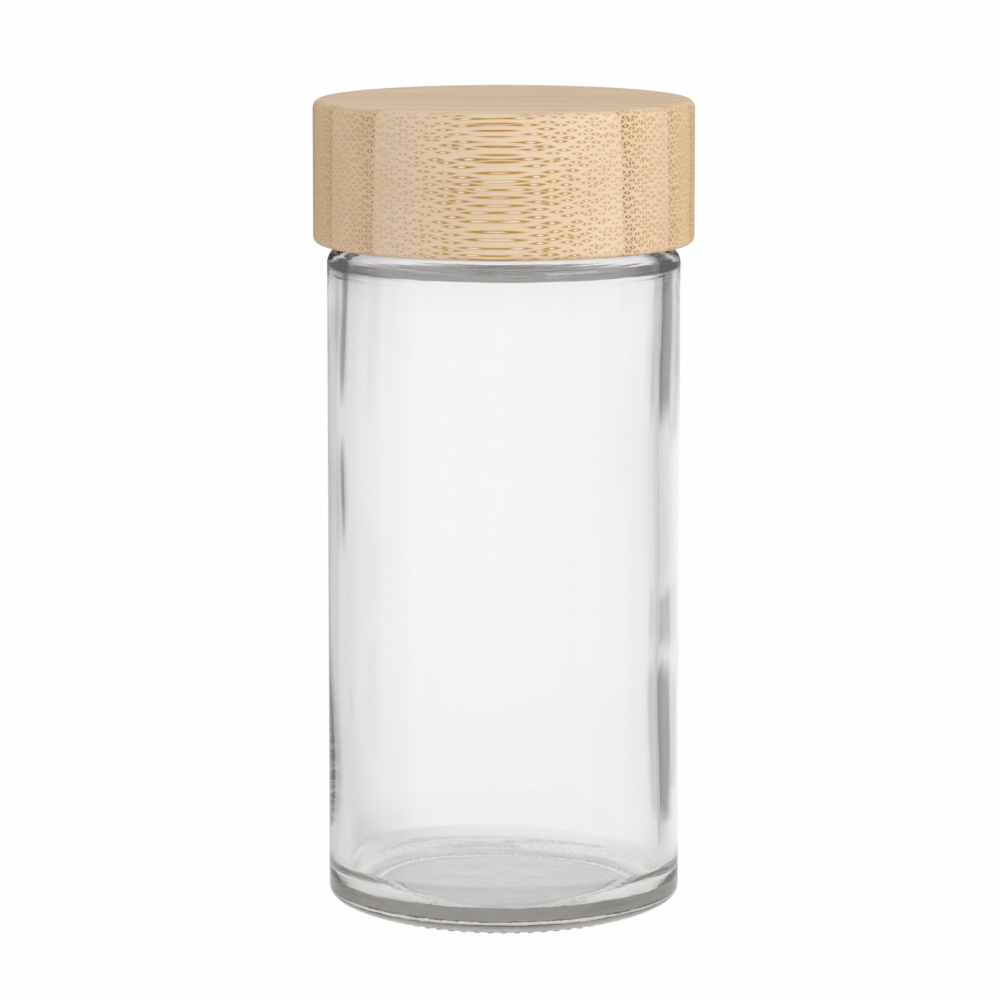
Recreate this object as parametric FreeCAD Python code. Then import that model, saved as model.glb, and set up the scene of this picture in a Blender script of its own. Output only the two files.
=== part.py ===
import FreeCAD, Part
import math
import os

# A round glass spice jar closed by a screw cap of laminated bamboo.
# Millimetres, +Z up along the jar's axis, origin at the middle of the base on the surface that it stands on.
# The front of the jar faces -Y. The cap is screwed down tight.

# Driving dimensions of the whole jar
TOTAL_HEIGHT = 107.5
CAP_RADIUS = 25.0
CAP_HEIGHT = 18.8
BODY_RADIUS = 23.2
BODY_WALL = 2.7
SHOULDER_GAP = 0.4

# Shoulder and neck of the glass
SHOULDER_RADIUS = 2.3
NECK_RADIUS = 19.9
NECK_FILLET = 0.5
BORE_RADIUS = 17.0
RIM_ROUND = 0.8
SHOULDER_WALL = 1.35
INNER_SHOULDER_RADIUS = 1.45
THROAT_RADIUS = 1.5

# Base of the glass: bearing ring with knurls, heel, push-up below and floor above
RING_INNER_RADIUS = 16.6
RING_OUTER_RADIUS = 17.5
RING_HEIGHT = 0.32
RING_BEVEL = 0.4
KNURL_COUNT = 64
KNURL_RADIUS = 0.6
KNURL_AXIS_HEIGHT = 0.45
KNURL_REACH = 18.1
HEEL_HEIGHT = 2.9
HEEL_WALL_ARC = 1.85
PUSH_UP_EDGE_HEIGHT = 0.8
PUSH_UP_HEIGHT = 1.3
FLOOR_HEIGHT = 4.0
FLOOR_RADIUS = 19.3
FLOOR_CROWN = 0.3
INNER_HEEL_HEIGHT = 2.8
INNER_HEEL_BOW = 0.12

# Single-start right-hand screw thread shared by the neck and the cap's insert
THREAD_LEAD = 4.23
THREAD_FLANK_DEG = 25.0
THREAD_START_HEIGHT = 92.3
NECK_THREAD_RADIUS = 21.1
NECK_THREAD_CREST = 0.9
NECK_THREAD_TURNS = 1.5
INSERT_THREAD_RADIUS = 20.3
INSERT_THREAD_CREST = 0.7
INSERT_THREAD_TURNS = 1.25
THREAD_AXIAL_GAP = 0.13
THREAD_ROOT_DEPTH = 0.3

# Bamboo cap: laminated from upright staves, then turned and bored from below
CAP_TOP_THICKNESS = 3.6
CAP_BORE_RADIUS = 22.6
CAP_TOP_ROUND = 1.1
CAP_FOOT_ROUND = 0.9
STAVE_THICKNESS = 6.8
FIRST_SEAM_Y = -19.3
STAVE_COUNT = 8
STAVE_TURN_DEG = -2.2
STAVE_LEAN_DEG = 1.2

# Moulded insert that is glued into the cap, and the loose sealing liner in its top
INSERT_RADIUS = 22.5
INSERT_WALL = 1.1
INSERT_TOP_THICKNESS = 1.2
INSERT_RECESS = 0.6
INSERT_CHAMFER = 0.4
LINER_RADIUS = 20.9
LINER_THICKNESS = 1.5

# Heights that follow from the driving dimensions
CAP_FOOT_Z = TOTAL_HEIGHT - CAP_HEIGHT
SHOULDER_Z = CAP_FOOT_Z - SHOULDER_GAP
CAP_BORE_TOP_Z = TOTAL_HEIGHT - CAP_TOP_THICKNESS
LINER_TOP_Z = CAP_BORE_TOP_Z - INSERT_TOP_THICKNESS
RIM_Z = LINER_TOP_Z - LINER_THICKNESS
INNER_RADIUS = BODY_RADIUS - BODY_WALL

AXIS = FreeCAD.Vector(0, 0, 1)
ORIGIN = FreeCAD.Vector(0, 0, 0)


def point(radius, height):
    """A point of a half section, in the XZ plane."""
    return FreeCAD.Vector(radius, 0, height)


def line(start, end):
    return Part.LineSegment(point(*start), point(*end)).toShape()


def arc(start, centre, end):
    """The shorter arc about a centre from start to end, all as (radius, height)."""
    bend = math.dist(start, centre)
    middle = ((start[0] + end[0]) / 2 - centre[0], (start[1] + end[1]) / 2 - centre[1])
    reach = bend / math.hypot(*middle)
    through = (centre[0] + middle[0] * reach, centre[1] + middle[1] * reach)
    return Part.Arc(point(*start), point(*through), point(*end)).toShape()


def bowed(start, end, bow):
    """A slack arc that stands off its chord to the left of the way from start to end."""
    across = (end[0] - start[0], end[1] - start[1])
    push = bow / math.hypot(*across)
    through = ((start[0] + end[0]) / 2 - across[1] * push, (start[1] + end[1]) / 2 + across[0] * push)
    return Part.Arc(point(*start), point(*through), point(*end)).toShape()


def dome(edge_radius, edge_height, top_height):
    """A shallow arc from the axis out to an edge, level where it leaves the axis."""
    rise = top_height - edge_height
    half_way = edge_radius / 2
    bend = (edge_radius**2 + rise**2) / (2 * rise)
    drop = bend - math.sqrt(bend**2 - half_way**2)
    ends = point(0, top_height), point(edge_radius, edge_height)
    return Part.Arc(ends[0], point(half_way, top_height - drop), ends[1]).toShape()


def turned(edges):
    """The solid that a closed half section makes when it is turned about the axis."""
    face = Part.Face(Part.Wire(edges))
    return face.revolve(ORIGIN, AXIS, 360)


def heel_edges():
    """The heel from the ring to the wall: a flat arc below that runs into a tight one at the wall."""
    tight = HEEL_WALL_ARC
    across = BODY_RADIUS - RING_OUTER_RADIUS - tight
    flat = (across**2 + HEEL_HEIGHT**2 - tight**2) / (2 * (HEEL_HEIGHT - tight))
    top_z = RING_HEIGHT + HEEL_HEIGHT
    flat_centre = (RING_OUTER_RADIUS, RING_HEIGHT + flat)
    tight_centre = (BODY_RADIUS - tight, top_z)
    share = flat / (flat - tight)
    meet = tuple(a + (b - a) * share for a, b in zip(flat_centre, tight_centre))
    return [
        arc((RING_OUTER_RADIUS, RING_HEIGHT), flat_centre, meet),
        arc(meet, tight_centre, (BODY_RADIUS, top_z)),
    ]


def outer_glass_edges():
    """The outside of the glass, from the middle of the push-up to the top of the rim."""
    ring_edge = RING_INNER_RADIUS - RING_BEVEL
    shoulder_start = SHOULDER_Z - SHOULDER_RADIUS
    shoulder_end = BODY_RADIUS - SHOULDER_RADIUS
    neck_foot = NECK_RADIUS + NECK_FILLET
    neck_start = SHOULDER_Z + NECK_FILLET
    rim_start = RIM_Z - RIM_ROUND
    edges = [
        dome(ring_edge, PUSH_UP_EDGE_HEIGHT, PUSH_UP_HEIGHT),
        line((ring_edge, PUSH_UP_EDGE_HEIGHT), (RING_INNER_RADIUS, 0)),
        line((RING_INNER_RADIUS, 0), (RING_OUTER_RADIUS, 0)),
        line((RING_OUTER_RADIUS, 0), (RING_OUTER_RADIUS, RING_HEIGHT)),
    ]
    edges += heel_edges()
    edges += [
        line((BODY_RADIUS, RING_HEIGHT + HEEL_HEIGHT), (BODY_RADIUS, shoulder_start)),
        arc((BODY_RADIUS, shoulder_start), (shoulder_end, shoulder_start), (shoulder_end, SHOULDER_Z)),
        line((shoulder_end, SHOULDER_Z), (neck_foot, SHOULDER_Z)),
        arc((neck_foot, SHOULDER_Z), (neck_foot, neck_start), (NECK_RADIUS, neck_start)),
        line((NECK_RADIUS, neck_start), (NECK_RADIUS, rim_start)),
        arc((NECK_RADIUS, rim_start), (NECK_RADIUS - RIM_ROUND, rim_start), (NECK_RADIUS - RIM_ROUND, RIM_Z)),
    ]
    return edges


def inner_glass_edges():
    """The rim and the inside of the glass, from the top of the rim down to the middle of the floor."""
    rim_start = RIM_Z - RIM_ROUND
    rim_edge = BORE_RADIUS + RIM_ROUND
    shoulder_top = SHOULDER_Z - SHOULDER_WALL
    shoulder_start = shoulder_top - INNER_SHOULDER_RADIUS
    shoulder_end = INNER_RADIUS - INNER_SHOULDER_RADIUS
    throat_edge = BORE_RADIUS + THROAT_RADIUS
    throat_top = shoulder_top + THROAT_RADIUS
    heel_top = FLOOR_HEIGHT + INNER_HEEL_HEIGHT
    return [
        line((NECK_RADIUS - RIM_ROUND, RIM_Z), (rim_edge, RIM_Z)),
        arc((rim_edge, RIM_Z), (rim_edge, rim_start), (BORE_RADIUS, rim_start)),
        line((BORE_RADIUS, rim_start), (BORE_RADIUS, throat_top)),
        arc((BORE_RADIUS, throat_top), (throat_edge, throat_top), (throat_edge, shoulder_top)),
        line((throat_edge, shoulder_top), (shoulder_end, shoulder_top)),
        arc((shoulder_end, shoulder_top), (shoulder_end, shoulder_start), (INNER_RADIUS, shoulder_start)),
        line((INNER_RADIUS, shoulder_start), (INNER_RADIUS, heel_top)),
        bowed((INNER_RADIUS, heel_top), (FLOOR_RADIUS, FLOOR_HEIGHT), INNER_HEEL_BOW),
        dome(FLOOR_RADIUS, FLOOR_HEIGHT, FLOOR_HEIGHT + FLOOR_CROWN),
    ]


def thread_ridge(root_radius, crest_radius, crest_width, turns, start_height):
    """A screw ridge that rises from a root radius to a crest radius, as one unbroken swept solid."""
    spread = abs(crest_radius - root_radius) * math.tan(math.radians(THREAD_FLANK_DEG))
    half_crest = crest_width / 2
    half_root = half_crest + spread
    section = Part.makePolygon(
        [
            point(root_radius, start_height - half_root),
            point(crest_radius, start_height - half_crest),
            point(crest_radius, start_height + half_crest),
            point(root_radius, start_height + half_root),
            point(root_radius, start_height - half_root),
        ]
    )
    helix = Part.makeHelix(THREAD_LEAD, THREAD_LEAD * turns, root_radius)
    helix.translate(FreeCAD.Vector(0, 0, start_height))
    return Part.Wire(helix.Edges).makePipeShell([section], True, True)


def knurls():
    """The ring of short radial ridges under the heel, flat where they meet the surface below."""
    start = (RING_INNER_RADIUS + RING_OUTER_RADIUS) / 2
    length = KNURL_REACH - start
    along = FreeCAD.Vector(1, 0, 0)
    ridge = Part.makeCylinder(KNURL_RADIUS, length, FreeCAD.Vector(start, 0, KNURL_AXIS_HEIGHT), along)
    corner = FreeCAD.Vector(start, -KNURL_RADIUS, -KNURL_RADIUS)
    below = Part.makeBox(length, 2 * KNURL_RADIUS, KNURL_RADIUS, corner)
    ridge = ridge.cut(below)
    ring = []
    for number in range(KNURL_COUNT):
        copy = ridge.copy()
        copy.rotate(ORIGIN, AXIS, number * 360 / KNURL_COUNT)
        ring.append(copy)
    return ring


def glass_jar():
    along_axis = line((0, FLOOR_HEIGHT + FLOOR_CROWN), (0, PUSH_UP_HEIGHT))
    body = turned(outer_glass_edges() + inner_glass_edges() + [along_axis])
    ridge = thread_ridge(
        NECK_RADIUS - THREAD_ROOT_DEPTH,
        NECK_THREAD_RADIUS,
        NECK_THREAD_CREST,
        NECK_THREAD_TURNS,
        THREAD_START_HEIGHT,
    )
    return body.multiFuse([ridge] + knurls()).removeSplitter()


def screw_insert():
    """The moulded cup in the cap, with its ridge just under the neck's thread as when screwed tight."""
    foot = CAP_FOOT_Z + INSERT_RECESS
    inner = INSERT_RADIUS - INSERT_WALL
    top = CAP_BORE_TOP_Z
    cup = turned(
        [
            line((0, top), (INSERT_RADIUS - INSERT_CHAMFER, top)),
            line((INSERT_RADIUS - INSERT_CHAMFER, top), (INSERT_RADIUS, top - INSERT_CHAMFER)),
            line((INSERT_RADIUS, top - INSERT_CHAMFER), (INSERT_RADIUS, foot)),
            line((INSERT_RADIUS, foot), (inner + INSERT_CHAMFER, foot)),
            line((inner + INSERT_CHAMFER, foot), (inner, foot + INSERT_CHAMFER)),
            line((inner, foot + INSERT_CHAMFER), (inner, LINER_TOP_Z)),
            line((inner, LINER_TOP_Z), (0, LINER_TOP_Z)),
            line((0, LINER_TOP_Z), (0, top)),
        ]
    )
    overlap = (NECK_THREAD_RADIUS - INSERT_THREAD_RADIUS) * math.tan(math.radians(THREAD_FLANK_DEG))
    below = (NECK_THREAD_CREST + INSERT_THREAD_CREST) / 2 + overlap + THREAD_AXIAL_GAP
    ridge = thread_ridge(
        inner + THREAD_ROOT_DEPTH,
        INSERT_THREAD_RADIUS,
        INSERT_THREAD_CREST,
        INSERT_THREAD_TURNS,
        THREAD_START_HEIGHT - below,
    )
    return cup.fuse(ridge).removeSplitter()


def seal_liner():
    return Part.makeCylinder(LINER_RADIUS, LINER_THICKNESS, FreeCAD.Vector(0, 0, RIM_Z))


def cap_shell():
    """The turned and bored cap before it is told apart into its staves."""
    edge = CAP_RADIUS - CAP_TOP_ROUND
    edge_z = TOTAL_HEIGHT - CAP_TOP_ROUND
    foot = CAP_RADIUS - CAP_FOOT_ROUND
    foot_z = CAP_FOOT_Z + CAP_FOOT_ROUND
    return turned(
        [
            line((0, TOTAL_HEIGHT), (edge, TOTAL_HEIGHT)),
            arc((edge, TOTAL_HEIGHT), (edge, edge_z), (CAP_RADIUS, edge_z)),
            line((CAP_RADIUS, edge_z), (CAP_RADIUS, foot_z)),
            arc((CAP_RADIUS, foot_z), (foot, foot_z), (foot, CAP_FOOT_Z)),
            line((foot, CAP_FOOT_Z), (CAP_BORE_RADIUS, CAP_FOOT_Z)),
            line((CAP_BORE_RADIUS, CAP_FOOT_Z), (CAP_BORE_RADIUS, CAP_BORE_TOP_Z)),
            line((CAP_BORE_RADIUS, CAP_BORE_TOP_Z), (0, CAP_BORE_TOP_Z)),
            line((0, CAP_BORE_TOP_Z), (0, TOTAL_HEIGHT)),
        ]
    )


def cap_staves():
    """The staves from front to back: slabs of the cap between leaning seams."""
    shell = cap_shell()
    reach = 2 * CAP_RADIUS
    seams = [FIRST_SEAM_Y + number * STAVE_THICKNESS for number in range(STAVE_COUNT - 1)]
    limits = [-reach] + seams + [reach]
    staves = []
    for front, back in zip(limits, limits[1:]):
        slab = Part.makeBox(2 * reach, back - front, 2 * reach, FreeCAD.Vector(-reach, front, -reach))
        slab.rotate(ORIGIN, FreeCAD.Vector(1, 0, 0), STAVE_LEAN_DEG)
        slab.rotate(ORIGIN, AXIS, STAVE_TURN_DEG)
        slab.translate(FreeCAD.Vector(0, 0, CAP_FOOT_Z + CAP_HEIGHT / 2))
        staves.append(shell.common(slab))
    return staves


def main():
    nodes = {"glass_jar": glass_jar(), "screw_insert": screw_insert(), "seal_liner": seal_liner()}
    for number, stave in enumerate(cap_staves(), start=1):
        nodes[f"cap_stave_{number}"] = stave
    os.makedirs("parts", exist_ok=True)
    for name, shape in nodes.items():
        solid = shape.Solids[0]
        solid.exportStep(f"parts/{name}.step")
        print(name, len(shape.Solids), solid.isValid(), round(solid.Volume, 1))


main()
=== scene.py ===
import math

import bmesh
import bpy
from bpy.props import FloatProperty, FloatVectorProperty, IntProperty, PointerProperty
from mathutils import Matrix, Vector, noise


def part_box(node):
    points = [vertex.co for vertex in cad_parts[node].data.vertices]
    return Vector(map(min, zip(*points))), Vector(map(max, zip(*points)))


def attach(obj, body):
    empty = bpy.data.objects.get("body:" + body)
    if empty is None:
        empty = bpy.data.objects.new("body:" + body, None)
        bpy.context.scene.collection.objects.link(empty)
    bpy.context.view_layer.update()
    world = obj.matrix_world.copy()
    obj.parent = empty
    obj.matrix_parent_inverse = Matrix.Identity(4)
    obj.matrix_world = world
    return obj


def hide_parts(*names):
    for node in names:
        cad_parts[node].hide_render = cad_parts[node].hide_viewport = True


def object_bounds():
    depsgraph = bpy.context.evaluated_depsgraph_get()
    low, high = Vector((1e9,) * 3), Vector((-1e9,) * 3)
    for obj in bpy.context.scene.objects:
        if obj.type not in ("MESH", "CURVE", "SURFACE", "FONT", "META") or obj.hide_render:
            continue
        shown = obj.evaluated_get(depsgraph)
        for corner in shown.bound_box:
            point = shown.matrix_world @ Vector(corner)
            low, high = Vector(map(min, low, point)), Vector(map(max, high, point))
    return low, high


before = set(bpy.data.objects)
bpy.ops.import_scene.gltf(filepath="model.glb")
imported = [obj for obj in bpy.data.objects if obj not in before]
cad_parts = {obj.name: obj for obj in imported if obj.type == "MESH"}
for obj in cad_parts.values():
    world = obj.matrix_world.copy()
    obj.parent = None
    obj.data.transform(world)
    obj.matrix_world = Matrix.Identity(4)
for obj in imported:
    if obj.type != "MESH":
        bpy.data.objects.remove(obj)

# The looks of a glass spice jar with a bamboo screw cap, built round its CAD frame.
# Metres, +Z up along the jar's axis, front of the jar towards -Y.

bl_info = {
    "name": "Spice Jar",
    "version": (1, 0, 0),
    "blender": (4, 5, 0),
    "location": "3D View > Sidebar > Spice Jar",
    "description": "Dresses the CAD frame of a glass spice jar with a laminated bamboo screw cap",
    "category": "Object",
}

MM = 0.001
CAD_LOW, CAD_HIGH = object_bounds()
JAR_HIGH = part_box("glass_jar")[1]
LINER_LOW, LINER_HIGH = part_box("seal_liner")
INSERT_LOW, INSERT_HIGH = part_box("screw_insert")
STAVES = sorted(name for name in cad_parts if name.startswith("cap_stave_"))
CAP_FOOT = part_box(STAVES[0])[0].z
CAP_TOP = CAD_HIGH.z
CAP_RADIUS = min(CAD_HIGH.x, CAD_HIGH.y, -CAD_LOW.x, -CAD_LOW.y)
BLACK = (0.0, 0.0, 0.0, 1.0)
WHITE = (1.0, 1.0, 1.0, 1.0)

# How near a point counts as on a surface, and how near two points count as one.
NEAR = 1e-6
WELD = 1e-7
# Edges sharper than this stay sharp.
CREASE = math.radians(40)
# Facets round the cap and its insert, and round the liner.
CAP_STEPS = 288
LINER_STEPS = 192


def paint(code):
    """A colour written as six hex digits, as the linear values that shaders take."""
    parts = [int(code[start : start + 2], 16) / 255 for start in (0, 2, 4)]
    return tuple(part / 12.92 if part <= 0.04045 else ((part + 0.055) / 1.055) ** 2.4 for part in parts)


def length(name, description, default):
    return FloatProperty(name=name, description=description, default=default, precision=5, unit="LENGTH")


def angle(name, description, degrees):
    return FloatProperty(name=name, description=description, default=math.radians(degrees), unit="ROTATION")


def watts(name, description, default):
    return FloatProperty(name=name, description=description, default=default, unit="POWER")


def colour(name, description, code):
    return FloatVectorProperty(
        name=name, description=description, default=paint(code), min=0.0, max=1.0, size=3, subtype="COLOR"
    )


class ThreadSettings(bpy.types.PropertyGroup):
    """The single-start thread that the neck and the insert share."""

    lead: length("Lead", "Rise of the thread in one turn", 4.23 * MM)
    start: length("Start height", "Height at which the neck's thread starts", 92.3 * MM)
    fade: angle("Run-out", "Turn over which the ridge rises at each end", 28)


class GlassSettings(bpy.types.PropertyGroup):
    """Sizes and tint of the glass jar."""

    body_radius: length("Body radius", "Outside radius of the body", JAR_HIGH.x)
    wall: length("Wall", "Thickness of the body's wall", 2.7 * MM)
    wall_shift: length("Wall shift", "How far the hollow sits to the left of the outside", 0.45 * MM)
    waviness: length("Waviness", "How far the inside of the wall wanders", 0.16 * MM)
    neck_radius: length("Neck radius", "Outside radius of the neck", 19.9 * MM)
    bore_radius: length("Bore radius", "Inside radius of the neck", 17.0 * MM)
    shoulder_height: length("Shoulder height", "Height of the flat of the shoulder", 88.3 * MM)
    shoulder_radius: length("Shoulder radius", "Rounding of the shoulder", 2.3 * MM)
    shoulder_wall: length("Shoulder wall", "Thickness of the flat of the shoulder", 1.35 * MM)
    inner_corner: length("Inner corner", "Rounding of the hollow under the shoulder", 1.45 * MM)
    throat: length("Throat", "Rounding where the hollow runs into the neck", 1.5 * MM)
    ridge: length("Thread ridge", "How far the thread stands out of the neck", 1.2 * MM)
    floor_height: length("Floor height", "Height of the inside floor at its edge", 4.0 * MM)
    floor_radius: length("Floor radius", "Radius of the inside floor", 19.3 * MM)
    floor_crown: length("Floor crown", "How far the middle of the floor stands above its edge", 0.3 * MM)
    inner_heel: length("Inner heel", "Height of the sloping ring between floor and wall", 2.8 * MM)
    heel_bow: length("Heel bow", "How far that ring bulges", 0.12 * MM)
    lumps: length("Lumps", "How uneven the floor and the underside are", 0.05 * MM)
    push_up: length("Push-up", "Height of the hollow under the base", 1.3 * MM)
    ring_inner: length("Ring inside", "Inside radius of the bearing ring", 16.6 * MM)
    ring_outer: length("Ring outside", "Outside radius of the bearing ring", 17.5 * MM)
    ring_height: length("Ring height", "Height of the bearing ring", 0.32 * MM)
    heel_height: length("Heel height", "Height of the rounded heel", 2.9 * MM)
    heel_arc: length("Heel arc", "Tight rounding where the heel meets the wall", 1.85 * MM)
    knurls: IntProperty(name="Knurls", description="Ridges under the heel", default=64, min=8)
    knurl_reach: length("Knurl reach", "Radius at which the knurls end", 18.1 * MM)
    steps: IntProperty(name="Steps", description="Facets round the glass", default=384, min=64)
    tint: colour("Tint", "Colour of thick glass", "d5d4c9")
    # Colour of the painted shade in the heel's streaks and specks.
    mark: colour("Mark", "Colour of the streaks and specks on the heel", "8a8672")


class CapSettings(bpy.types.PropertyGroup):
    """Sizes and colours of the bamboo cap."""

    radius: length("Radius", "Outside radius of the cap", CAP_RADIUS)
    bore: length("Bore", "Radius of the hollow in the cap", 22.6 * MM)
    bore_top: length("Bore top", "Height of the top of the hollow", INSERT_HIGH.z)
    top_round: length("Top rounding", "Rounding of the top edge", 1.1 * MM)
    foot_round: length("Foot rounding", "Rounding of the bottom edge", 0.9 * MM)
    stave: length("Stave thickness", "Thickness of one stave", 6.8 * MM)
    first_seam: length("First seam", "Depth of the front seam", -19.3 * MM)
    turn: angle("Turn", "How far the staves are turned about the axis", -2.2)
    lean: angle("Lean", "How far the seams lean", 1.2)
    ground: colour("Ground", "Pale tissue between the fibre bundles", "ead2b4")
    shade: colour("Shade", "Duller patches of that tissue", "d9bb96")
    fibre: colour("Fibre", "Caps of the fibre bundles deep in a stave", "be8f30")
    rind: colour("Rind", "Caps of the bundles at the front of a stave", "9c5f22")
    heart: colour("Heart", "Pale middle of each bundle", "f9ead6")


class InsertSettings(bpy.types.PropertyGroup):
    """Sizes and colours of the moulded insert and its liner."""

    wall: length("Wall", "Thickness of the insert's wall", 1.1 * MM)
    top: length("Top", "Thickness of the insert's top", 1.2 * MM)
    ridge: length("Thread ridge", "How far the thread stands into the insert", 1.1 * MM)
    plastic: colour("Plastic", "Colour of the insert", "e9e8e3")
    flow: colour("Flow marks", "Colour of the flow marks in the insert", "dedcd5")
    foam: colour("Foam", "Colour of the liner", "dcdbd5")
    pits: colour("Pits", "Colour of the pits in the liner", "bdbbb2")


class StageSettings(bpy.types.PropertyGroup):
    """Camera and light of the studio."""

    camera_distance: length("Camera distance", "How far the camera stands in front of the axis", 0.750)
    camera_height: length("Camera height", "Height of the lens", 0.1656)
    camera_side: length("Camera side step", "How far the camera stands to the left", 0.0005)
    aim_height: length("Aim height", "Height that the camera looks at", 0.05446)
    lens: FloatProperty(
        name="Lens", description="Focal length on a 36 mm sensor", default=206.7, unit="CAMERA"
    )
    fill: FloatProperty(name="Fill", description="Light from all round, at the horizon", default=0.69)
    key_power: watts("Key power", "Power of the lamp on the right", 3.65)
    fill_power: watts("Fill power", "Power of the lamp on the left", 0.3)
    tent_radius: length("Tent radius", "Radius of the tent that the glass mirrors", 0.075)
    tent_height: length("Tent height", "Height of that tent", 0.115)
    floor: colour("Floor", "Colour of the floor", "f6f5f5")
    cloth: colour("Cloth", "Colour of the tent's cloth", "fffdfe")


class Field:
    """A value that varies over a surface: a node's socket, on which Python's operators add Math nodes."""

    def __init__(self, tree, socket=None):
        self.tree = tree
        self.socket = socket

    def make(self, kind, settings=None, sockets=None, out=0):
        """Add a node with its settings first and then the values or links of its sockets."""
        node = self.tree.nodes.new(kind)
        for name, value in (settings or {}).items():
            setattr(node, name, value)
        for name, value in (sockets or {}).items():
            if isinstance(value, Field):
                self.tree.links.new(value.socket, node.inputs[name])
            else:
                node.inputs[name].default_value = value
        return Field(self.tree, node.outputs[out] if node.outputs else None)

    def other(self, out):
        """Another output of the node that this value comes from."""
        return Field(self.tree, self.socket.node.outputs[out])

    def maths(self, operation, first, second=0.0):
        return self.make("ShaderNodeMath", {"operation": operation}, {0: first, 1: second})

    def __add__(self, value):
        return self.maths("ADD", self, value)

    def __radd__(self, value):
        return self.maths("ADD", value, self)

    def __sub__(self, value):
        return self.maths("SUBTRACT", self, value)

    def __rsub__(self, value):
        return self.maths("SUBTRACT", value, self)

    def __mul__(self, value):
        return self.maths("MULTIPLY", self, value)

    def __rmul__(self, value):
        return self.maths("MULTIPLY", value, self)

    def __truediv__(self, value):
        return self.maths("DIVIDE", self, value)

    def __pow__(self, value):
        return self.maths("POWER", self, value)

    def __abs__(self):
        return self.maths("ABSOLUTE", self)

    def floor(self):
        return self.maths("FLOOR", self)

    def least(self, value):
        return self.maths("MINIMUM", self, value)

    def most(self, value):
        return self.maths("MAXIMUM", self, value)

    def ease(self, low, high):
        """0 below low, 1 above high and a smooth rise between; it falls where low is above high."""
        sockets = {"Value": self, "From Min": low, "From Max": high}
        return self.make("ShaderNodeMapRange", {"interpolation_type": "SMOOTHSTEP"}, sockets)

    def between(self, low, high, soft):
        """1 between low and high, with soft edges inside them."""
        return self.ease(low, low + soft) * self.ease(high, high - soft)

    def blend(self, first, second):
        """The first colour where this value is 0 and the second where it is 1."""
        return self.make("ShaderNodeMix", {"data_type": "RGBA"}, {0: self, 6: first, 7: second}, out=2)

    def split(self):
        parts = self.make("ShaderNodeSeparateXYZ", sockets={0: self})
        return parts, parts.other(1), parts.other(2)

    def join(self, x, y, z):
        return self.make("ShaderNodeCombineXYZ", sockets={0: x, 1: y, 2: z})

    def grain(self, scale, detail=2.0, roughness=0.5):
        """Smooth noise about 0.5, on this vector."""
        sockets = {"Vector": self, "Scale": scale, "Detail": detail, "Roughness": roughness}
        return self.make("ShaderNodeTexNoise", {"noise_dimensions": "3D"}, sockets)


def new_material(name):
    """A material with only its output, as a Field on its tree and the output node."""
    material = bpy.data.materials.new(name)
    material.use_nodes = True
    tree = material.node_tree
    tree.nodes.clear()
    output = tree.nodes.new("ShaderNodeOutputMaterial")
    return material, Field(tree), output


def surface(field, output, sockets):
    """Ends a material in a Principled shader with these sockets."""
    shader = field.make("ShaderNodeBsdfPrincipled", sockets=sockets)
    field.tree.links.new(shader.socket, output.inputs["Surface"])


def rgba(values):
    return (*values, 1.0)


def clear_glass(settings):
    """Clear soda-lime glass: faint ripples, handling haze and a streaky, stippled heel whose streaks and
    specks carry painted shade.
    """
    material, field, output = new_material("clear_glass")
    place = field.make("ShaderNodeTexCoord", out="Object")
    x, y, z = place.split()
    radius = (x * x + y * y) ** 0.5
    wall = settings.body_radius - MM
    under_fades = (1.6 * MM, 1.4 * MM)
    heel_fades = (4.2 * MM, 3.0 * MM)
    foot_fades = (6.0 * MM, 5.0 * MM)
    heel_shade_fade = (4.9 * MM, 4.3 * MM)
    crown_starts = (83.5 * MM, 85.5 * MM)

    # The rough underside, the heel with the foot of the wall over it, and the crown below the shoulder.
    under = radius.ease(settings.knurl_reach + MM, settings.knurl_reach) * z.ease(*under_fades)
    heel = radius.ease(settings.ring_outer, settings.ring_outer + 0.8 * MM) * z.ease(*heel_fades)
    heel = heel.most(radius.ease(wall, wall + 0.5 * MM) * z.ease(*foot_fades))
    crown = z.ease(*crown_starts)

    ripple = place.grain(55.0, detail=1.0)
    haze = place.grain(140.0, detail=4.0, roughness=0.6).ease(0.55, 0.8)
    stipple = place.grain(2600.0, detail=2.0)
    streaks = field.join(x * 70.0, y * 70.0, z * 900.0).grain(1.0, detail=3.0, roughness=0.6)
    rings = field.join(x * 110.0, y * 110.0, (z - radius) * 2200.0).grain(1.0, detail=2.0)
    height = ripple + heel * (stipple * 0.3 + streaks) + under * stipple * 0.3 + crown * rings * 0.3
    bump = field.make("ShaderNodeBump", sockets={"Strength": 0.25, "Distance": 0.25 * MM, "Height": height})
    # The heel's streaks and specks darken the glass's colour: painted shade.
    painted_heel_shade = streaks.ease(0.48, 0.6) * 0.35 + stipple.ease(0.48, 0.6) * 0.2
    heel_shade_mask = heel * z.ease(*heel_shade_fade) * painted_heel_shade
    surface(
        field,
        output,
        {
            "Base Color": heel_shade_mask.blend(WHITE, rgba(settings.mark)),
            "Roughness": haze * 0.025 + under * 0.5 + heel * 0.03,
            "IOR": 1.52,
            "Transmission Weight": 1.0,
            "Normal": bump,
        },
    )
    depth = field.make("ShaderNodeVolumeAbsorption", sockets={"Color": rgba(settings.tint), "Density": 20.0})
    field.tree.links.new(depth.socket, output.inputs["Volume"])
    return material


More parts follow.
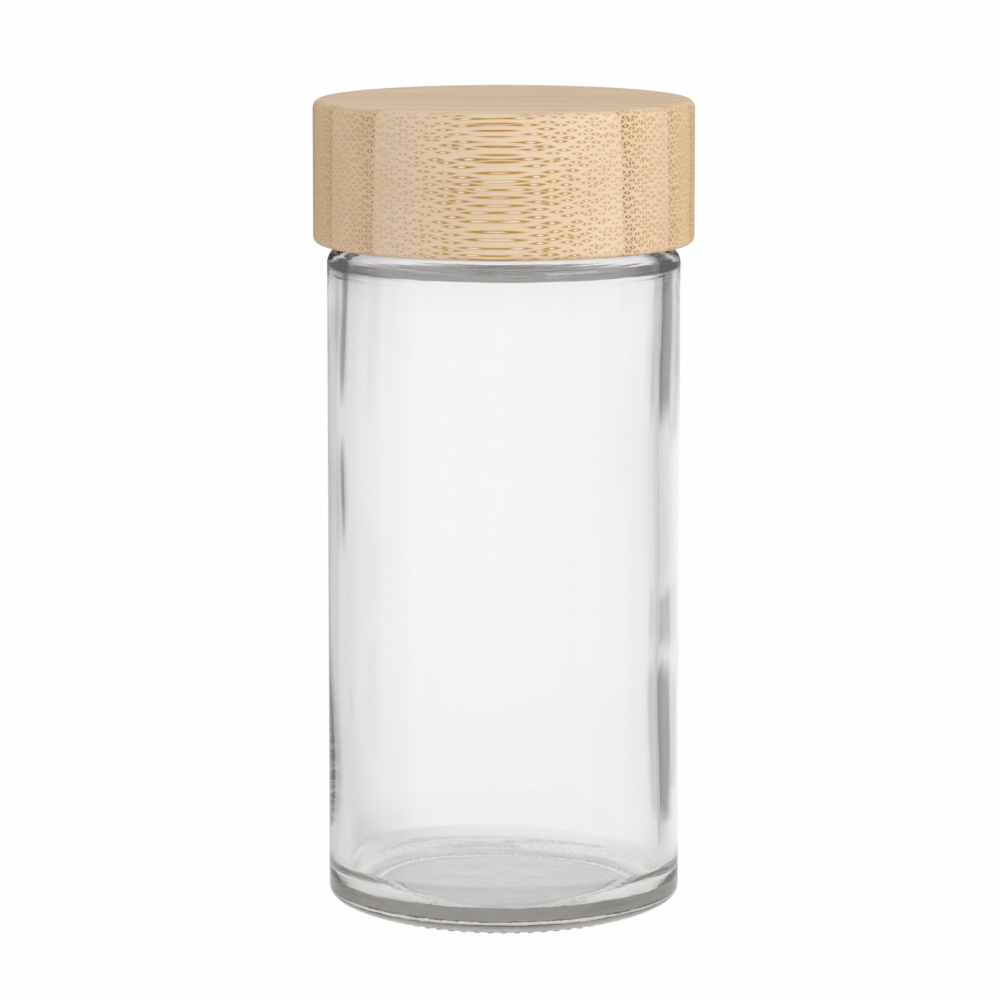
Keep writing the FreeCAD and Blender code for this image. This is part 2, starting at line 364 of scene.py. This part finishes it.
def bundle_set(field, column, row, cell_size, number):
    """One set of fibre bundles, one to a cell: how strongly their dark caps and their pale hearts show."""
    half_width = 0.46
    half_height = 0.29
    curve = 1.3
    heart_half_width = 0.12
    heart_half_height = 0.09
    side_play = 0.12
    height_play = 0.15
    cell = field.join(column.floor(), row.floor(), number)
    luck = field.make("ShaderNodeTexWhiteNoise", {"noise_dimensions": "3D"}, {"Vector": cell})
    nudge, lift, _ = luck.other("Color").split()
    sideways = (column - column.floor() - (0.5 + side_play) + nudge * (2 * side_play)) * cell_size
    upward = (row - row.floor() - (0.5 + height_play) + lift * (2 * height_play)) * cell_size
    size = luck * 0.3 + 0.8
    reach = abs(sideways / half_width) ** curve + abs(upward / half_height) ** curve
    bundle = (reach / size).ease(1.0, 0.4)
    parted = abs(sideways).ease(0.02, 0.15) * 0.5 + 0.5
    heart = ((sideways / heart_half_width) ** 2.0 + (upward / heart_half_height) ** 2.0).ease(1.0, 0.3)
    return bundle * parted * (1.0 - heart), heart


def bamboo(settings):
    """Laminated bamboo: the fibre bundles of each stave show as dots where the turning cuts across them."""
    material, field, output = new_material("bamboo")
    place = field.make("ShaderNodeTexCoord", out="Object")
    turned = field.make(
        "ShaderNodeMapping",
        sockets={"Vector": place, "Rotation": (0.0, 0.0, -settings.turn), "Scale": (1 / MM, 1 / MM, 1 / MM)},
    )
    along, back, height = turned.split()
    thickness = settings.stave / MM
    middle = (CAP_FOOT + CAP_TOP) / 2 / MM
    depth = back + (height - middle) * math.tan(settings.lean)
    count = (depth - settings.first_seam / MM) / thickness
    number = count.floor()
    across = count - number
    inward = across * thickness

    # Two staggered sets of bundles, in cells of this many millimetres, that pale towards a stave's back.
    cell_size = 1.06
    wander = field.join(along * 0.035, depth * 0.16, height * 0.16).grain(1.0, detail=1.0)
    drift = wander.other(1).split()[1]
    column = inward / cell_size + (wander - 0.5) * 0.6
    row = height / cell_size + (drift - 0.5) * 1.2 + number * 0.37
    near, near_heart = bundle_set(field, column, row, cell_size, number)
    far, far_heart = bundle_set(field, column + 0.5, row + 0.5, cell_size, number + 0.5)
    # The top face gets fainter bundles and a paler, less golden tone: a painted sheen.
    painted_top_sheen = height.ease(CAP_TOP / MM - 0.5, CAP_TOP / MM) * 0.6
    # Bundles also fade towards the left of the cap: painted shade for the lower contrast of its shaded side.
    paling = (1.0 - across.ease(0.2, 1.0) * 0.45) * (1.0 - along.ease(-2.0, -12.0) * 0.35)
    paling = paling * (1.0 - painted_top_sheen)
    heart = near_heart.most(far_heart) * paling
    caps = near.most(far) * paling

    threads = field.join(along * 0.1, depth * 7.0, height * 7.0).grain(1.0, detail=3.0, roughness=0.65)
    clouds = field.join(along * 0.02, depth * 0.35, height * 0.12).grain(1.0, detail=2.0)
    lot = field.make("ShaderNodeTexWhiteNoise", {"noise_dimensions": "1D"}, {"W": number})
    seam = (across.least(1.0 - across) * thickness).ease(0.1, 0.03)

    front = across.ease(0.35, 0.0) * number.ease(-1.0, 0.0)
    fibre = front.blend(rgba(settings.fibre), rgba(settings.rind))
    tone = (clouds.ease(0.35, 0.75) * 0.3 + lot * 0.12).blend(rgba(settings.ground), rgba(settings.shade))
    warmth = front * 0.1 + number.ease(-1.0, 1.0) * 0.22
    golden = threads.ease(0.5, 0.85) * 0.18 + warmth * (1.0 - painted_top_sheen)
    tone = golden.blend(tone, rgba(settings.fibre))
    tone = caps.blend(tone, fibre)
    tone = (heart * 0.7).blend(tone, rgba(settings.heart))
    tone = (seam * 0.08).blend(tone, rgba(settings.rind))
    relief = threads * 0.6 - caps * 0.25 - seam * 0.3
    bump = field.make("ShaderNodeBump", sockets={"Strength": 0.35, "Distance": 0.04 * MM, "Height": relief})
    surface(
        field,
        output,
        {"Base Color": tone, "Roughness": 0.46 + threads * 0.16, "Normal": bump, "IOR": 1.45},
    )
    return material


def moulded_plastic(settings):
    """White moulded plastic: fine spark-eroded texture and faint flow marks."""
    material, field, output = new_material("moulded_plastic")
    place = field.make("ShaderNodeTexCoord", out="Object")
    spark = place.grain(9000.0, detail=2.0)
    flow = place.grain(90.0, detail=2.0)
    tone = flow.ease(0.3, 0.8).blend(rgba(settings.plastic), rgba(settings.flow))
    bump = field.make("ShaderNodeBump", sockets={"Strength": 0.3, "Distance": 0.02 * MM, "Height": spark})
    surface(field, output, {"Base Color": tone, "Roughness": 0.38 + spark * 0.14, "Normal": bump})
    return material


def sealing_foam(settings):
    """Closed-cell foam: small round cells that dent the skin."""
    material, field, output = new_material("sealing_foam")
    place = field.make("ShaderNodeTexCoord", out="Object")
    cells = field.make("ShaderNodeTexVoronoi", {"feature": "F1"}, {"Vector": place, "Scale": 3500.0})
    shade = place.grain(120.0, detail=2.0)
    pits = cells.ease(0.7, 0.2)
    # The dented pits take the darker pit colour: painted shade in the dents.
    tone = (pits * 0.35 + shade * 0.3).blend(rgba(settings.foam), rgba(settings.pits))
    skin = 1.0 - pits
    bump = field.make("ShaderNodeBump", sockets={"Strength": 0.4, "Distance": 0.04 * MM, "Height": skin})
    surface(field, output, {"Base Color": tone, "Roughness": 0.75 + pits * 0.15, "Normal": bump})
    return material


def bend(centre, radius, start, end, count):
    """Points of an arc about (radius, height), with angles in degrees from straight outwards."""
    turns = [math.radians(start + (end - start) * step / count) for step in range(count + 1)]
    return [(centre[0] + radius * math.cos(turn), centre[1] + radius * math.sin(turn)) for turn in turns]


def stretch(start, end, count):
    """Evenly spaced points after start, up to end."""
    steps = [step / count for step in range(1, count + 1)]
    return [tuple(a + (b - a) * step for a, b in zip(start, end)) for step in steps]


def lathe(outline, steps):
    """A closed shape turned about Z from an outline that starts and ends on the axis."""
    shape = bmesh.new()
    line = [shape.verts.new((radius, 0.0, height)) for radius, height in outline]
    for first, second in zip(line, line[1:]):
        shape.edges.new((first, second))
    bmesh.ops.spin(
        shape,
        geom=shape.verts[:] + shape.edges[:],
        cent=(0.0, 0.0, 0.0),
        axis=(0.0, 0.0, 1.0),
        angle=math.tau,
        steps=steps,
        use_merge=True,
    )
    bmesh.ops.remove_doubles(shape, verts=shape.verts[:], dist=WELD)
    bmesh.ops.recalc_face_normals(shape, faces=shape.faces[:])
    return shape


def smooth(value):
    """A smooth rise from 0 to 1."""
    held = min(1.0, max(0.0, value))
    return held * held * (3.0 - 2.0 * held)


def ridge_share(place, thread, start, turns, half_root, half_crest):
    """How much of a screw ridge's full height stands at a place on the wall, from 0 to 1."""
    around = math.atan2(place.y, place.x) % math.tau
    most = 0.0
    for lap in range(math.ceil(turns)):
        travel = around + lap * math.tau
        if travel > turns * math.tau:
            continue
        off = abs(place.z - start - thread.lead * travel / math.tau)
        rise = smooth((half_root - off) / (half_root - half_crest))
        ends = smooth(min(travel, turns * math.tau - travel) / thread.fade)
        most = max(most, rise * ends)
    return most


def finish_piece(name, shape, material, body, nodes):
    """Makes the piece from its bmesh and hands it to the frame in place of these CAD nodes."""
    mesh = bpy.data.meshes.new(name)
    shape.to_mesh(mesh)
    shape.free()
    for face in mesh.polygons:
        face.use_smooth = True
    mesh.set_sharp_from_angle(angle=CREASE)
    mesh.materials.append(material)
    piece = bpy.data.objects.new(name, mesh)
    bpy.context.scene.collection.objects.link(piece)
    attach(piece, body)
    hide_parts(*nodes)


def heel_outline(glass):
    """The heel from the bearing ring to the wall: a flat arc that runs into a tight one."""
    tight = glass.heel_arc
    across = glass.body_radius - glass.ring_outer - tight
    rise = glass.heel_height
    flat = (across**2 + rise**2 - tight**2) / (2 * (rise - tight))
    meet = math.degrees(math.atan2(rise - flat, across))
    lower = bend((glass.ring_outer, glass.ring_height + flat), flat, -90, meet, 30)
    upper = bend((glass.body_radius - tight, glass.ring_height + rise), tight, meet, 0, 10)
    return lower + upper[1:]


def sloping_ring(glass):
    """The bowed ring from the foot of the inside wall down to the edge of the floor."""
    inner = glass.body_radius - glass.wall
    top = glass.floor_height + glass.inner_heel
    run = glass.floor_radius - inner
    drop = -glass.inner_heel
    points = []
    for part in (0.05, 0.2, 0.4, 0.6, 0.8, 1.0):
        push = 4.0 * glass.heel_bow * part * (1.0 - part) / math.hypot(run, drop)
        points.append((inner + run * part - drop * push, top + drop * part + run * push))
    return points


def glass_outline(glass):
    """Half section of the glass, from the middle of the push-up round to the middle of the floor."""
    edge = (glass.ring_inner - 0.4 * MM, 0.8 * MM)
    soft = 0.05 * MM
    rim = LINER_LOW.z
    rim_round = 0.8 * MM
    fillet = 0.5 * MM
    inner = glass.body_radius - glass.wall
    inner_top = glass.shoulder_height - glass.shoulder_wall
    corner = glass.inner_corner
    throat = glass.throat
    heel_top = glass.floor_height + glass.inner_heel
    crease = 0.15 * MM
    shoulder = glass.shoulder_radius
    shoulder_start = glass.shoulder_height - shoulder
    wall_start = glass.ring_height + glass.heel_height

    rings = 20
    parts = [step / rings for step in range(rings + 1)]
    points = [(edge[0] * part, glass.push_up + (edge[1] - glass.push_up) * part * part) for part in parts]
    points += stretch(edge, (glass.ring_inner, soft), 2)
    points += [(glass.ring_inner + soft, 0.0), (glass.ring_outer - soft, 0.0), (glass.ring_outer, soft)]
    points += heel_outline(glass)
    points += stretch((glass.body_radius, wall_start), (glass.body_radius, shoulder_start), 12)
    points += bend((glass.body_radius - shoulder, shoulder_start), shoulder, 0, 90, 12)[1:]
    neck_foot = glass.neck_radius + fillet
    points += bend((neck_foot, glass.shoulder_height + fillet), fillet, 270, 180, 5)
    neck_top = (glass.neck_radius, rim - rim_round)
    points += stretch((glass.neck_radius, glass.shoulder_height + fillet), neck_top, 52)
    points += bend((glass.neck_radius - rim_round, rim - rim_round), rim_round, 0, 90, 6)[1:]
    points += bend((glass.bore_radius + rim_round, rim - rim_round), rim_round, 90, 180, 6)
    points += bend((glass.bore_radius + throat, inner_top + throat), throat, 180, 270, 8)
    points += bend((inner - corner, inner_top - corner), corner, 90, 0, 12)
    points += stretch((inner, inner_top - corner), (inner, heel_top + crease), 40)
    points.append((inner, heel_top))
    points += sloping_ring(glass)
    rounds = [1 - step / rings for step in range(1, rings + 1)]
    rises = [glass.floor_crown * (1 - part * part) for part in rounds]
    points += [(glass.floor_radius * part, glass.floor_height + rise) for part, rise in zip(rounds, rises)]
    return points


def press_knurls(shape, glass):
    """Draws the underside of the heel down into a ring of short radial ridges."""
    inside = glass.ring_outer - 0.01 * MM
    width = 0.6 * MM
    axis_height = 0.45 * MM
    pitch = math.tau / glass.knurls
    for vert in shape.verts:
        reach = math.hypot(vert.co.x, vert.co.y)
        if inside < reach < glass.knurl_reach and vert.co.z < MM:
            turn = math.atan2(vert.co.y, vert.co.x)
            off = abs((turn + pitch / 2) % pitch - pitch / 2) * reach
            if off < width:
                ridge = max(0.0, axis_height - math.sqrt(width**2 - off**2))
                vert.co.z = min(vert.co.z, ridge)


def press_neck_thread(shape, glass, thread):
    """Raises the screw ridge on the outside of the neck."""
    low = glass.shoulder_height + MM
    high = LINER_LOW.z - MM
    turns = 1.5
    half_root = 1.01 * MM
    half_crest = 0.45 * MM
    for vert in shape.verts:
        reach = math.hypot(vert.co.x, vert.co.y)
        if abs(reach - glass.neck_radius) < NEAR and low < vert.co.z < high:
            rise = glass.ridge * ridge_share(vert.co, thread, thread.start, turns, half_root, half_crest)
            vert.co.xy *= (reach + rise) / reach


def wander_inside(shape, glass):
    """Shifts the inside of the wall and lets it wander a little, as in blown glass."""
    inner = glass.body_radius - glass.wall
    low = glass.floor_height + glass.inner_heel
    high = glass.shoulder_height - glass.shoulder_wall - glass.inner_corner
    wander_ease = 9 * MM
    shift_ease = 24 * MM
    waves_round = 45
    waves_up = 38
    for vert in shape.verts:
        reach = math.hypot(vert.co.x, vert.co.y)
        if abs(reach - inner) < NEAR and low < vert.co.z < high:
            room = min(vert.co.z - low, high - vert.co.z)
            place = Vector((vert.co.x * waves_round, vert.co.y * waves_round, vert.co.z * waves_up))
            swell = glass.waviness * noise.noise(place) * smooth(room / wander_ease)
            vert.co.xy *= (reach + swell) / reach
            vert.co.x -= glass.wall_shift * smooth(room / shift_ease)


def dent_base(shape, glass):
    """Makes the floor and the underside a little lumpy, and lets the top of the inner heel rise and fall."""
    inner = glass.body_radius - glass.wall
    heel_top = glass.floor_height + glass.inner_heel
    lumps_across = 240
    lumps_up = 600
    heel_gain = 3.0
    for vert in shape.verts:
        reach = math.hypot(vert.co.x, vert.co.y)
        if reach > inner + NEAR or vert.co.z > heel_top + NEAR:
            continue
        place = Vector((vert.co.x * lumps_across, vert.co.y * lumps_across, vert.co.z * lumps_up))
        if vert.co.z > glass.floor_height - NEAR:
            climb = max(0.0, (vert.co.z - glass.floor_height) / glass.inner_heel)
            vert.co.z += glass.lumps * noise.noise(place) * (1.0 + heel_gain * climb)
        elif reach < glass.ring_inner - 0.5 * MM:
            vert.co.z += glass.lumps * noise.noise(place)


class SPICE_OT_glass_jar(bpy.types.Operator):
    """Turns the glass jar with its knurls, thread and wandering inside wall"""

    bl_idname = "spice_jar.glass_jar"
    bl_label = "Glass jar"

    def execute(self, context):
        glass = context.scene.spice_glass
        shape = lathe(glass_outline(glass), glass.steps)
        press_knurls(shape, glass)
        press_neck_thread(shape, glass, context.scene.spice_thread)
        wander_inside(shape, glass)
        dent_base(shape, glass)
        bmesh.ops.recalc_face_normals(shape, faces=shape.faces[:])
        finish_piece("jar_glass", shape, clear_glass(glass), "jar", ["glass_jar"])
        return {"FINISHED"}


def cap_outline(cap):
    """Half section of the turned and bored cap."""
    edge = cap.radius - cap.top_round
    foot = cap.radius - cap.foot_round
    chamfer = 0.2 * MM
    points = [(0.0, CAP_TOP)]
    points += stretch((0.0, CAP_TOP), (edge, CAP_TOP), 6)
    points += bend((edge, CAP_TOP - cap.top_round), cap.top_round, 90, 0, 10)[1:]
    side_top = (cap.radius, CAP_TOP - cap.top_round)
    points += stretch(side_top, (cap.radius, CAP_FOOT + cap.foot_round), 8)
    points += bend((foot, CAP_FOOT + cap.foot_round), cap.foot_round, 0, -90, 8)[1:]
    points += [(cap.bore + chamfer, CAP_FOOT), (cap.bore, CAP_FOOT + chamfer)]
    points += stretch((cap.bore, CAP_FOOT + chamfer), (cap.bore, cap.bore_top), 4)
    points += stretch((cap.bore, cap.bore_top), (0.0, cap.bore_top), 4)
    return points


def saw(shape, place, normal):
    """Cuts away what lies beyond a plane and closes the cut face."""
    cut = bmesh.ops.bisect_plane(
        shape,
        geom=shape.verts[:] + shape.edges[:] + shape.faces[:],
        dist=WELD,
        plane_co=place,
        plane_no=normal,
        clear_outer=True,
    )
    edges = [item for item in cut["geom_cut"] if isinstance(item, bmesh.types.BMEdge)]
    bmesh.ops.contextual_create(shape, geom=edges)


class SPICE_OT_bamboo_cap(bpy.types.Operator):
    """Turns the cap and saws it along its seams into the bamboo staves"""

    bl_idname = "spice_jar.bamboo_cap"
    bl_label = "Bamboo cap"

    def execute(self, context):
        cap = context.scene.spice_cap
        material = bamboo(cap)
        whole = lathe(cap_outline(cap), CAP_STEPS)
        tilt = Vector((0.0, math.cos(cap.lean), math.sin(cap.lean)))
        normal = Vector((-math.sin(cap.turn) * tilt.y, math.cos(cap.turn) * tilt.y, tilt.z))
        middle = Vector((0.0, 0.0, (CAP_FOOT + CAP_TOP) / 2))
        seams = [middle + normal * (cap.first_seam + cap.stave * number) for number in range(len(STAVES) - 1)]
        for number, node in enumerate(STAVES):
            shape = whole.copy()
            if number > 0:
                saw(shape, seams[number - 1], -normal)
            if number < len(seams):
                saw(shape, seams[number], normal)
            bmesh.ops.recalc_face_normals(shape, faces=shape.faces[:])
            finish_piece(f"bamboo_stave_{number + 1}", shape, material, "cap", [node])
        whole.free()
        return {"FINISHED"}


def insert_outline(insert):
    """Half section of the moulded cup, from the middle of its top to the middle of its ceiling."""
    radius = INSERT_HIGH.x
    inner = radius - insert.wall
    soft = 0.3 * MM
    ceiling = INSERT_HIGH.z - insert.top
    points = [(0.0, INSERT_HIGH.z)]
    points += stretch((0.0, INSERT_HIGH.z), (radius - soft, INSERT_HIGH.z), 4)
    points += bend((radius - soft, INSERT_HIGH.z - soft), soft, 90, 0, 4)[1:]
    points += stretch((radius, INSERT_HIGH.z - soft), (radius, INSERT_LOW.z + soft), 6)
    points += bend((radius - soft, INSERT_LOW.z + soft), soft, 0, -90, 4)[1:]
    points += bend((inner + soft, INSERT_LOW.z + soft), soft, -90, -180, 4)
    points += stretch((inner, INSERT_LOW.z + soft), (inner, ceiling), 56)
    points += stretch((inner, ceiling), (0.0, ceiling), 5)
    return points


class SPICE_OT_screw_insert(bpy.types.Operator):
    """Turns the moulded insert and raises its inside thread"""

    bl_idname = "spice_jar.screw_insert"
    bl_label = "Screw insert"

    def execute(self, context):
        insert = context.scene.spice_insert
        thread = context.scene.spice_thread
        inner = INSERT_HIGH.x - insert.wall
        below = 1.303 * MM
        start = thread.start - below
        turns = 1.25
        half_root = 0.86 * MM
        half_crest = 0.35 * MM
        shape = lathe(insert_outline(insert), CAP_STEPS)
        for vert in shape.verts:
            reach = math.hypot(vert.co.x, vert.co.y)
            if abs(reach - inner) < NEAR:
                rise = insert.ridge * ridge_share(vert.co, thread, start, turns, half_root, half_crest)
                vert.co.xy *= (reach - rise) / reach
        bmesh.ops.recalc_face_normals(shape, faces=shape.faces[:])
        plastic = moulded_plastic(insert)
        finish_piece("moulded_insert", shape, plastic, "cap", ["screw_insert"])
        return {"FINISHED"}


class SPICE_OT_seal_liner(bpy.types.Operator):
    """Turns the sealing liner with its soft edge and the ring that the rim presses into it"""

    bl_idname = "spice_jar.seal_liner"
    bl_label = "Seal liner"

    def execute(self, context):
        insert = context.scene.spice_insert
        radius = LINER_HIGH.x
        low = LINER_LOW.z
        high = LINER_HIGH.z
        soft = 0.35 * MM
        ring_outside = 19.6 * MM
        ring_inside = 17.3 * MM
        ring_slope = 0.3 * MM
        pressed = low + 0.08 * MM
        outline = [(0.0, high)]
        outline += stretch((0.0, high), (radius - soft, high), 5)
        outline += bend((radius - soft, high - soft), soft, 90, 0, 5)[1:]
        outline += bend((radius - soft, low + soft), soft, 0, -90, 5)
        outline += [(ring_outside, low), (ring_outside - ring_slope, pressed)]
        outline += [(ring_inside + ring_slope, pressed), (ring_inside, low)]
        outline += stretch((ring_inside, low), (0.0, low), 4)
        shape = lathe(outline, LINER_STEPS)
        finish_piece("foam_liner", shape, sealing_foam(insert), "seal", ["seal_liner"])
        return {"FINISHED"}


def place_camera(stage):
    """Stands the camera where the photograph was taken from."""
    data = bpy.data.cameras.new("camera")
    data.sensor_width = 36.0
    data.lens = stage.lens
    camera = bpy.data.objects.new("camera", data)
    bpy.context.scene.collection.objects.link(camera)
    camera.location = (-stage.camera_side, -stage.camera_distance, stage.camera_height)
    look = Vector((-stage.camera_side, 0.0, stage.aim_height)) - camera.location
    camera.rotation_euler = look.to_track_quat("-Z", "Y").to_euler()
    bpy.context.scene.camera = camera


def soft_lamp(name, place, width, power):
    """A square soft box that faces the middle of the jar."""
    data = bpy.data.lights.new(name, "AREA")
    data.shape = "SQUARE"
    data.size = width
    data.energy = power
    lamp = bpy.data.objects.new(name, data)
    bpy.context.scene.collection.objects.link(lamp)
    lamp.location = place
    middle = Vector((0.0, 0.0, 0.07))
    look = middle - lamp.location
    lamp.rotation_euler = look.to_track_quat("-Z", "Y").to_euler()


def studio_world(stage):
    """Soft light from all round: white to the camera, dark overhead in gloss and grey through the glass."""
    world = bpy.data.worlds.new("studio")
    world.use_nodes = True
    tree = world.node_tree
    tree.nodes.clear()
    field = Field(tree)
    path = field.make("ShaderNodeLightPath", out="Is Camera Ray")
    height = field.make("ShaderNodeTexCoord", out="Generated").split()[2]
    through = path.other("Is Transmission Ray")
    mirror = path.other("Is Glossy Ray") * (1.0 - through)
    fill = stage.fill + height.ease(0.0, 0.9) * 0.06
    mirrored = 0.93 - height.ease(0.12, 0.6) * 0.6
    refracted = 0.42
    level = fill + path * (1.0 - fill) + mirror * (mirrored - fill) + through * (refracted - fill)
    light = field.make("ShaderNodeBackground", sockets={"Color": level.blend(BLACK, WHITE), "Strength": 1.0})
    output = tree.nodes.new("ShaderNodeOutputWorld")
    tree.links.new(light.socket, output.inputs["Surface"])
    bpy.context.scene.world = world


def add_stage_piece(name, shape, material):
    """Makes a piece of the stage from its bmesh."""
    mesh = bpy.data.meshes.new(name)
    shape.to_mesh(mesh)
    shape.free()
    mesh.materials.append(material)
    piece = bpy.data.objects.new(name, mesh)
    bpy.context.scene.collection.objects.link(piece)
    return piece


def bearing(field, x, y):
    """Degrees round the axis from straight behind the jar, to the right."""
    return field.maths("ARCTAN2", x, y) * (180 / math.pi)


def side_falls(around):
    """How far the surroundings darken towards both sides behind the jar."""
    left = around.ease(-9.0, -46.0) * (0.4 - around.ease(-44.0, -54.0) * 0.16)
    right = around.ease(22.0, 62.0) * 0.3
    return left.most(right)


def pale_floor(stage):
    """A pale floor that keeps the jar's shadow and goes to white where it is looked at."""
    material, field, output = new_material("pale_floor")
    x, y, _ = field.make("ShaderNodeTexCoord", out="Object").split()
    radius = (x * x + y * y) ** 0.5
    around = bearing(field, x, y)
    path = field.make("ShaderNodeLightPath", out="Is Camera Ray")
    shown = path.other("Is Glossy Ray").most(path.other("Is Transmission Ray"))
    # What gloss and glass see is painted: a greyer painted contact shadow under the bearing ring, and painted
    # light that grows paler away from the jar.
    painted_contact_shadow = radius.between(15.8 * MM, 19.0 * MM, MM)
    near = 0.56 - painted_contact_shadow * 0.24 + radius.ease(38.0 * MM, 52.0 * MM) * 0.28
    falls = side_falls(around) * radius.ease(24.0 * MM, 40.0 * MM) * shown
    scattered = field.make("ShaderNodeBsdfDiffuse", sockets={"Color": rgba(stage.floor)})
    cloth = shown.blend(WHITE, rgba(stage.cloth))
    white = field.make("ShaderNodeEmission", sockets={"Color": falls.blend(cloth, BLACK), "Strength": 1.0})
    mixed = field.make("ShaderNodeMixShader", sockets={0: path * 0.97 + shown * near, 1: scattered, 2: white})
    field.tree.links.new(mixed.socket, output.inputs["Surface"])
    shape = bmesh.new()
    bmesh.ops.create_circle(shape, cap_ends=True, radius=2.5, segments=96)
    add_stage_piece("floor", shape, material)


def patch(around, height, turns, heights):
    """A soft-edged patch of the tent between two turns in degrees and two heights in millimetres."""
    softness = 0.45
    wide = around.between(*turns, (turns[1] - turns[0]) * softness)
    return wide * height.between(*heights, (heights[1] - heights[0]) * softness)


def light_tent(stage):
    """A pale tent that only glass and gloss see, whose darker patches draw the edges of the glass."""
    material, field, output = new_material("tent_cloth")
    place = field.make("ShaderNodeTexCoord", out="Object")
    x, y, z = place.split()
    sway, lift, _ = place.grain(45.0, detail=4.0, roughness=0.55).other("Color").split()
    straight = bearing(field, x, y)
    unevenness = 12.0
    around = straight + (sway - 0.5) * unevenness
    level_height = z / MM
    height = level_height + (lift - 0.5) * unevenness
    left = 0.0 - around
    side = abs(straight)

    # On the right a dark upright swells in three places, with a thin line and a tall patch beyond it.
    swells = (height.between(51.0, 82.0, 7.0) * 0.78).most(height.between(20.0, 37.0, 6.0) * 0.52)
    swells = swells.most(height.between(0.0, 24.0, 6.0) * 0.7)
    shade = around.ease(35.0, 47.0) * around.ease(60.0, 57.5) * swells
    shade = shade.most(around.between(57.5, 63.0, 2.0) * 0.42)
    shade = shade.most(patch(around, height, (63.0, 85.0), (48.0, 84.0)) * 0.7)
    # On the left two tall patches stand one above the other, with paler ones beside them.
    shade = shade.most(patch(left, height, (48.0, 68.0), (56.0, 88.0)) * 0.75)
    shade = shade.most(patch(left, height, (50.0, 68.0), (32.0, 62.0)) * 0.8)
    shade = shade.most(patch(left, height, (32.0, 48.0), (34.0, 60.0)) * 0.5)
    shade = shade.most(patch(left, height, (26.0, 40.0), (0.0, 28.0)) * 0.4)
    # Two upright panels stand in front, and the sides and the foot fall off.
    shade = shade.most(side.between(106.0, 128.0, 6.0) * 0.45)
    shade = shade.most(side_falls(straight)) + level_height.ease(26.0, 4.0) * 0.03
    # The ceiling is grey behind the jar and dark at the sides.
    ceiling = level_height.ease(75.0, 80.0)
    above = 0.38 - side.ease(16.0, 34.0) * 0.25
    level = 1.0 - shade + ceiling * (above - 1.0 + shade)
    glow = field.make(
        "ShaderNodeEmission", sockets={"Color": level.blend(BLACK, rgba(stage.cloth)), "Strength": 1.0}
    )
    field.tree.links.new(glow.socket, output.inputs["Surface"])
    shape = bmesh.new()
    radius = stage.tent_radius
    bmesh.ops.create_cone(shape, segments=180, radius1=radius, radius2=radius, depth=stage.tent_height)
    bmesh.ops.translate(shape, verts=shape.verts[:], vec=(0.0, 0.0, stage.tent_height / 2 - MM))
    tent = add_stage_piece("light_tent", shape, material)
    tent.visible_camera = False
    tent.visible_diffuse = False
    tent.visible_shadow = False


class SPICE_OT_stage(bpy.types.Operator):
    """Sets the floor, the soft light and the camera"""

    bl_idname = "spice_jar.stage"
    bl_label = "Stage"

    def execute(self, context):
        stage = context.scene.spice_stage
        pale_floor(stage)
        light_tent(stage)
        studio_world(stage)
        soft_lamp("key", place=(0.70, -0.58, 0.48), width=0.6, power=stage.key_power)
        soft_lamp("fill", place=(-0.70, -0.65, 0.35), width=0.7, power=stage.fill_power)
        place_camera(stage)
        context.scene.view_settings.view_transform = "Standard"
        context.scene.cycles.max_bounces = 40
        context.scene.cycles.glossy_bounces = 32
        context.scene.cycles.transmission_bounces = 32
        return {"FINISHED"}


class SPICE_PT_panel(bpy.types.Panel):
    """Lists the jar's sizes and the steps that build it"""

    bl_idname = "SPICE_PT_panel"
    bl_label = "Spice Jar"
    bl_space_type = "VIEW_3D"
    bl_region_type = "UI"
    bl_category = "Spice Jar"

    def draw(self, context):
        layout = self.layout
        for operator in OPERATORS:
            layout.operator(operator.bl_idname)
        for name in SETTINGS:
            group = getattr(context.scene, name)
            box = layout.box()
            for prop in group.bl_rna.properties:
                if prop.identifier not in {"rna_type", "name"}:
                    box.prop(group, prop.identifier)


SETTINGS = {
    "spice_thread": ThreadSettings,
    "spice_glass": GlassSettings,
    "spice_cap": CapSettings,
    "spice_insert": InsertSettings,
    "spice_stage": StageSettings,
}
OPERATORS = [
    SPICE_OT_glass_jar,
    SPICE_OT_bamboo_cap,
    SPICE_OT_screw_insert,
    SPICE_OT_seal_liner,
    SPICE_OT_stage,
]


def register():
    for name, group in SETTINGS.items():
        bpy.utils.register_class(group)
        setattr(bpy.types.Scene, name, PointerProperty(type=group))
    for operator in OPERATORS:
        bpy.utils.register_class(operator)
    bpy.utils.register_class(SPICE_PT_panel)


def unregister():
    bpy.utils.unregister_class(SPICE_PT_panel)
    for operator in reversed(OPERATORS):
        bpy.utils.unregister_class(operator)
    for name, group in reversed(SETTINGS.items()):
        delattr(bpy.types.Scene, name)
        bpy.utils.unregister_class(group)


def main():
    register()
    bpy.ops.spice_jar.glass_jar()
    bpy.ops.spice_jar.bamboo_cap()
    bpy.ops.spice_jar.screw_insert()
    bpy.ops.spice_jar.seal_liner()
    bpy.ops.spice_jar.stage()


if __name__ == "__main__":
    main()
